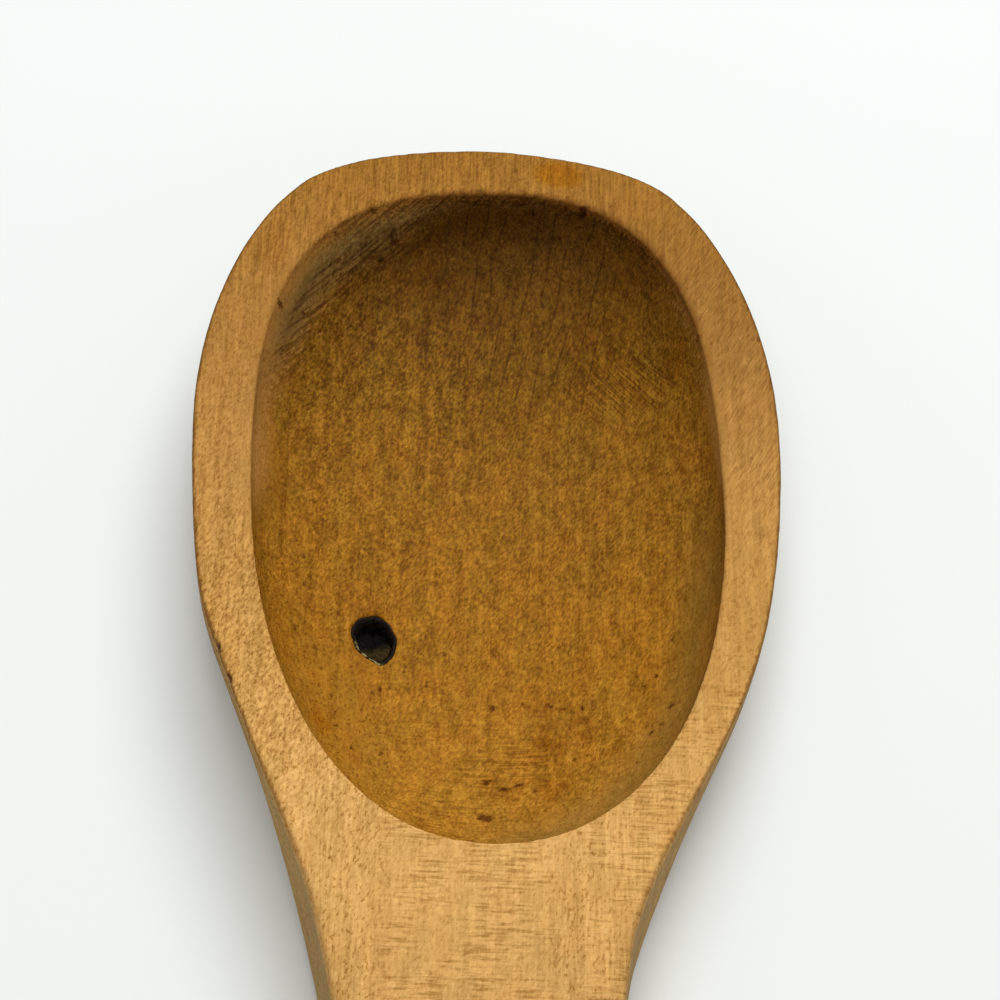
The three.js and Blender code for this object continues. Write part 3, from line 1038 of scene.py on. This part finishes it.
class Graph:
    """Short hand for one material's nodes. A value is a number, a colour or another node's output."""

    def __init__(self, name):
        self.material = bpy.data.materials.new(name)
        self.material.use_nodes = True
        self.tree = self.material.node_tree
        self.shader = self.tree.nodes["Principled BSDF"]
        self.place = self.place_on_piece()

    def put(self, node, key, value):
        if isinstance(value, bpy.types.NodeSocket):
            self.tree.links.new(value, node.inputs[key])
        else:
            node.inputs[key].default_value = value

    def add(self, kind, inputs, output=0, **settings):
        node = self.tree.nodes.new(kind)
        for key, value in settings.items():
            setattr(node, key, value)
        for key, value in inputs.items():
            self.put(node, key, value)
        return node.outputs[output]

    def place_on_piece(self):
        """Position on the piece in millimetres."""
        local = self.add("ShaderNodeTexCoord", {}, output="Object")
        return self.add("ShaderNodeVectorMath", {0: local, "Scale": 1 / MM}, operation="SCALE")

    def part(self, vector, axis):
        return self.add("ShaderNodeSeparateXYZ", {"Vector": vector}, output=axis)

    def mask(self, name):
        return self.add("ShaderNodeAttribute", {}, output="Fac", attribute_name=name)

    def along(self, direction):
        """Dot product of the place and a direction."""
        inputs = {0: self.place, 1: direction}
        return self.add("ShaderNodeVectorMath", inputs, output="Value", operation="DOT_PRODUCT")

    def past_knot(self, direction):
        """Distance from the knot's axis in a level direction."""
        axis = direction[0] * KNOT_X + direction[1] * y_at(KNOT_BACK)
        return self.math("SUBTRACT", self.along(direction), axis)

    def cells(self, size, turn=0.0, shift=0.0):
        """Coordinates in which one step is a cell of the given size, turned about Z by some degrees."""
        inputs = {"Vector": self.place, "Location": (shift, shift, shift), "Scale": size}
        inputs["Rotation"] = (0, 0, math.radians(turn))
        return self.add("ShaderNodeMapping", inputs, vector_type="TEXTURE")

    def noise(self, vector, detail, roughness=0.5):
        inputs = {"Vector": vector, "Scale": 1, "Detail": detail, "Roughness": roughness}
        return self.add("ShaderNodeTexNoise", inputs)

    def grain(self, name):
        """Noise of one of the grains."""
        size, turn, shift, detail, roughness = GRAINS[name]
        return self.noise(self.cells(size, turn, shift), detail, roughness)

    def dots(self, vector, radius, share):
        """Scattered soft dots, in a share of the cells."""
        node = self.tree.nodes.new("ShaderNodeTexVoronoi")
        self.put(node, "Vector", vector)
        self.put(node, "Scale", 1)
        inside = self.fade(node.outputs["Distance"], radius, radius * DOT_CORE)
        chosen = self.fade(self.part(node.outputs["Color"], 0), share, share - DOT_STEP)
        return self.times(inside, chosen)

    def math(self, operation, a, b=0.0, c=0.0):
        return self.add("ShaderNodeMath", {0: a, 1: b, 2: c}, operation=operation)

    def times(self, *values):
        """Product of all the values."""
        result = values[0]
        for value in values[1:]:
            result = self.math("MULTIPLY", result, value)
        return result

    def most(self, *values):
        """Greatest of the values."""
        result = values[0]
        for value in values[1:]:
            result = self.math("MAXIMUM", result, value)
        return result

    def total(self, *terms, start=0.0):
        """Sum of (value, weight) terms, each value taken about its middle, 0.5."""
        result = start
        for value, weight in terms:
            centred = self.math("SUBTRACT", value, 0.5)
            result = self.math("MULTIPLY_ADD", centred, weight, result)
        return result

    def fade(self, value, low, high, to_low=0.0, to_high=1.0):
        inputs = {"Value": value, "From Min": low, "From Max": high, "To Min": to_low, "To Max": to_high}
        return self.add("ShaderNodeMapRange", inputs, interpolation_type="SMOOTHSTEP")

    def by(self, share, outside, inside):
        """Value that goes from one to the other with a share."""
        return self.fade(share, 0, 1, outside, inside)

    def mix(self, share, a, b, blend="MIX"):
        a, b = [(*c, 1) if isinstance(c, tuple) else c for c in (a, b)]
        inputs = {0: share, 6: a, 7: b}
        return self.add("ShaderNodeMix", inputs, output=2, data_type="RGBA", blend_type=blend)

    def tinted(self, share, colour, tint):
        return self.mix(share, colour, tint, "MULTIPLY")

    def ramp(self, value, stops):
        node = self.tree.nodes.new("ShaderNodeValToRGB")
        elements = node.color_ramp.elements
        while len(elements) < len(stops):
            elements.new(0.5)
        for element, (position, colour) in zip(elements, stops):
            element.position = position
            element.color = (*colour, 1)
        self.put(node, "Fac", value)
        return node.outputs["Color"]

    def bump(self, height, depth):
        """Relief of the given depth in millimetres."""
        return self.add("ShaderNodeBump", {"Height": height, "Strength": 1, "Distance": depth * MM})

    def finish(self, colour, roughness, normal, specular):
        self.put(self.shader, "Base Color", colour)
        self.put(self.shader, "Roughness", roughness)
        self.put(self.shader, "Normal", normal)
        self.put(self.shader, "Specular IOR Level", specular)
        return self.material


class Wood(Graph):
    """The wood's nodes, with the places and the curl that several of its layers share."""

    def __init__(self):
        super().__init__("wood")
        self.x = self.part(self.place, 0)
        self.y = self.part(self.place, 1)
        frayed = self.total((self.grain("fray"), self.fade(self.y, *FRAY_FAR)))
        self.hollow = self.fade(self.math("ADD", self.mask("hollow"), frayed), *HOLLOW_SHOWS)
        self.rim = self.fade(self.hollow, 1, 0)
        self.neck = self.zone("neck")
        away = self.math("ABSOLUTE", self.math("ADD", self.x, MIDDLE_SHIFT))
        self.middle = self.times(self.fade(away, *MIDDLE_HALF), self.neck)
        self.curl = self.grain("curl")
        self.curled = self.curl_share()

    def zone(self, name):
        """Share of a zone."""
        axes = {"x": self.x, "y": self.y}
        return self.times(*[self.fade(axes[axis], begins, full) for axis, begins, full in ZONES[name]])

    def curl_share(self):
        """Where the wood's curl shows: patches across the neck, and the rippled place in the hollow."""
        patches = self.fade(self.grain("curl_patch"), *CURL_PATCH_SHOWS)
        right = self.times(self.zone("right_curl"), self.neck, CURL_RIGHT)
        curled = self.times(self.math("ADD", self.middle, right), patches)
        curled = self.times(curled, self.by(self.hollow, *CURL_HOLLOW))
        return self.most(curled, self.mask("rippled"))


def wood_tone(g):
    """Colour along the spoon: paler at the neck, darker towards the tip and the hollow's far end; then the
    far wall's grey band, partly painted light, stains, painted shade under the far edge, dirt, and an outer
    edge darkened partly by painted shade.
    """
    length = g.add("ShaderNodeMapRange", {"Value": g.y, "From Min": -LENGTH / 2, "From Max": LENGTH / 2})
    length = g.total((g.grain("cloud"), CLOUD_STRENGTH), start=length)
    rim = g.tinted(g.zone("right_rim"), g.ramp(length, RIM_COLOURS), RIGHT_TINT)
    tone = g.mix(g.hollow, rim, g.ramp(length, HOLLOW_COLOURS))
    # Far wall's grey band, partly painted light
    tone = g.mix(g.mask("wall"), tone, WALL_GREY_AND_LIGHT_COLOUR)
    patch = g.mix(g.fade(g.grain("patch"), *PATCH_SHOWS), OLIVE_TINT, ORANGE_TINT)
    tone = g.tinted(g.by(g.hollow, *PATCH_HOLLOW), tone, patch)
    for name, tint in TINTS.items():
        tone = g.tinted(g.mask(name), tone, tint)
    return tone


def wood_figure(g):
    """Light and dark of the grain, about 0: fibres along the spoon, leaning flecks, curl and scratches."""
    right = g.times(g.zone("right"), g.rim)
    fibre = g.times(g.by(g.zone("tip"), *FIBRE_TIP), g.by(g.hollow, *FIBRE_HOLLOW))
    fibre = g.times(fibre, g.by(right, *FIBRE_RIGHT), g.by(g.middle, *FIBRE_MIDDLE))
    fleck = g.math("SUBTRACT", g.fade(g.y, *FLECK_NEAR), g.fade(g.y, *FLECK_LOST_FAR))
    fleck = g.times(fleck, g.fade(g.x, *FLECK_RIGHT))
    fleck = g.math("MULTIPLY_ADD", g.times(g.zone("near_left"), g.rim), FLECK_NEAR_LEFT, fleck)
    weights = {
        "fibre": fibre,
        "fleck": g.by(g.hollow, fleck, g.fade(g.y, *FLECK_HOLLOW)),
        "hair": g.times(right, g.fade(g.y, *HAIR_FAR)),
        "streak": STREAK_STRENGTH,
        "blotch": g.by(g.hollow, BLOTCH_RIM, g.fade(g.y, *BLOTCH_HOLLOW)),
        "scratch": g.times(g.mask("scratched"), SCRATCH_STRENGTH),
    }
    figure = g.total(*[(g.grain(name), weight) for name, weight in weights.items()])
    figure = g.total((g.curl, g.times(g.curled, CURL_STRENGTH)), start=figure)
    return g.times(figure, g.fade(g.mask("smooth"), *SMOOTHED))


def wood_boldness(g):
    """How much bolder the figure is in the hollow."""
    floor = g.by(g.zone("far_left"), BOLD_STRENGTH, BOLD_FAR_LEFT_STRENGTH)
    bold = g.fade(g.y, *BOLD_TIP_Y, floor, BOLD_TIP_STRENGTH)
    return g.times(g.hollow, g.by(g.zone("near_left_floor"), bold, 0))


def wood_lines(g):
    """Growth lines in the far part of the hollow, gouge lines on its left wall."""
    phase = g.part(g.cells(GROWTH_CELL, GROWTH_TURN), 0)
    phase = g.math("FRACT", g.math("MULTIPLY_ADD", g.grain("drift"), GROWTH_DRIFT, phase))
    growth = g.fade(g.math("ABSOLUTE", g.math("SUBTRACT", phase, 0.5)), *GROWTH_SHOWS)
    gaps = g.fade(g.grain("gap"), *GAP_SHOWS)
    growth = g.times(growth, g.hollow, g.zone("growth"), gaps, GROWTH_STRENGTH)
    sweep = g.add("ShaderNodeCombineXYZ", {0: g.along(GOUGE_LENGTHWISE), 1: g.along(GOUGE_ACROSS)})
    gouge = g.fade(g.noise(sweep, 1), *GOUGE_SHOWS)
    return g.most(growth, g.times(gouge, g.mask("gouged"), GOUGE_STRENGTH), g.times(gouge, g.mask("caked")))


def wood_strokes(g):
    """Short brown strokes, and the dark side of the curl."""
    stroke = g.times(g.fade(g.grain("stroke"), *STROKE_SHOWS), g.fade(g.y, *STROKE_FAR))
    stroke = g.times(stroke, g.by(g.middle, *STROKE_MIDDLE), g.fade(g.x, *STROKE_RIGHT))
    return g.most(stroke, g.times(g.fade(g.curl, *CURL_SHOWS), g.curled, CURL_STROKE))


def wood_marks(g):
    """Dark specks with crumbling edges, scattered specks in the hollow, and the lines."""
    placed = g.mask("mark")
    crumbled = g.total((g.grain("crumb"), MARK_CRUMBLE), start=placed)
    mark = g.times(g.fade(crumbled, *MARK_SHOWS), g.fade(placed, *MARK_KEEPS))
    speck = g.times(g.dots(g.cells(SPECK_CELL), SPECK_RADIUS, SPECK_SHARE), g.hollow, SPECK_STRENGTH)
    return g.most(mark, speck, g.times(wood_lines(g), LINE_MARK))


def wood_material():
    g = Wood()
    figure = wood_figure(g)
    stroke = wood_strokes(g)
    mark = wood_marks(g)
    glint = g.times(g.fade(g.grain("glint"), *GLINT_SHOWS), g.by(g.hollow, *GLINT_HOLLOW))
    brown = g.times(g.mask("brown"), g.fade(g.grain("flame"), *FLAME))
    tint = g.mix(g.math("ADD", figure, 0.5), FIGURE_DARK, FIGURE_PALE)
    colour = g.tinted(1.0, wood_tone(g), tint)
    colour = g.tinted(wood_boldness(g), colour, tint)
    colour = g.tinted(glint, colour, GLINT_TINT)
    colour = g.tinted(stroke, colour, STROKE_TINT)
    colour = g.tinted(brown, colour, BROWN_TINT)
    colour = g.tinted(g.times(mark, MARK_STRENGTH), colour, MARK_TINT)
    rough = g.math("MULTIPLY_ADD", figure, WOOD_ROUGHNESS_FIGURE, g.by(g.hollow, *WOOD_ROUGHNESS))
    height = g.math("MULTIPLY_ADD", stroke, STROKE_RELIEF, figure)
    height = g.math("MULTIPLY_ADD", mark, MARK_RELIEF, height)
    return g.finish(colour, rough, g.bump(height, WOOD_RELIEF), WOOD_GLOSS)


def bark_material():
    g = Graph("bark")
    grain = g.grain("bark")
    colour = g.mix(g.fade(grain, *BARK_BROWN_SHOWS), BARK_DARK, BARK_BROWN)
    # Painted highlight on the bark's near-left edge
    pale = g.fade(g.past_knot(BARK_HIGHLIGHT_SIDE), *BARK_HIGHLIGHT_REACH)
    pale = g.times(pale, g.fade(g.grain("bark_highlight"), *BARK_HIGHLIGHT_SHOWS))
    colour = g.mix(pale, colour, BARK_HIGHLIGHT)
    return g.finish(colour, g.fade(grain, *BARK_ROUGHNESS), g.bump(grain, BARK_RELIEF), BARK_GLOSS)


def knot_material():
    g = Graph("knot")
    grain = g.grain("core")
    # Browner towards the near right: partly the stub's own colour, partly painted light on its lit side
    near = g.fade(g.past_knot(CORE_LIT_SIDE), *CORE_LIT_REACH)
    brown = g.times(near, g.fade(grain, *CORE_LIT_BROWN_SHOWS))
    colour = g.mix(brown, CORE_DARK, CORE_LIT_BROWN)
    return g.finish(colour, g.fade(grain, *CORE_ROUGHNESS), g.bump(grain, CORE_RELIEF), CORE_GLOSS)


def add_piece(piece, material, node):
    piece.data.materials.clear()
    piece.data.materials.append(material)
    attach(piece, "root")
    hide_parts(node)


def add_camera():
    data = bpy.data.cameras.new("camera")
    data.lens = LENS
    data.sensor_width = SENSOR
    data.clip_start = CLIP_START
    camera = link("camera", data)
    back = -Vector(CAMERA_AXIS).normalized()
    right = Vector(CAMERA_UP).cross(back).normalized()
    up = back.cross(right)
    turn = Matrix((right, up, back)).transposed().to_4x4()
    camera.matrix_world = Matrix.Translation(Vector(CAMERA_AT) * MM) @ turn
    bpy.context.scene.camera = camera


def add_lamp(name, toward, size, power):
    """Round lamp one metre from the bowl."""
    data = bpy.data.lights.new(name, "AREA")
    data.shape = "DISK"
    data.size = size
    data.energy = power
    lamp = link(name, data)
    direction = Vector(toward).normalized()
    lamp.location = Vector((0, y_at(LAMP_BACK) * MM, 0)) + direction
    lamp.rotation_euler = direction.to_track_quat("Z", "Y").to_euler()


def add_sky():
    world = bpy.data.worlds.new("studio")
    bpy.context.scene.world = world
    world.use_nodes = True
    background = world.node_tree.nodes["Background"]
    background.inputs["Color"].default_value = SKY_COLOUR
    background.inputs["Strength"].default_value = SKY_STRENGTH


def add_floor():
    mesh = bpy.data.meshes.new("floor")
    corners = [(x * TABLE_HALF, y * TABLE_HALF, 0) for x, y in ((-1, -1), (1, -1), (1, 1), (-1, 1))]
    mesh.from_pydata(corners, [], [(0, 1, 2, 3)])
    floor = link("floor", mesh)
    material = bpy.data.materials.new("white_table")
    material.use_nodes = True
    shader = material.node_tree.nodes["Principled BSDF"]
    shader.inputs["Base Color"].default_value = TABLE_COLOUR
    shader.inputs["Roughness"].default_value = TABLE_ROUGHNESS
    shader.inputs["Specular IOR Level"].default_value = TABLE_GLOSS
    mesh.materials.append(material)


add_piece(spoon_body(), wood_material(), "spoon_body")
add_piece(knot_bark(), bark_material(), "knot_bark")
add_piece(knot_core(), knot_material(), "knot_core")
add_floor()
for lamp in LAMPS:
    add_lamp(*lamp)
add_sky()
add_camera()
bpy.context.scene.view_settings.view_transform = "Standard"
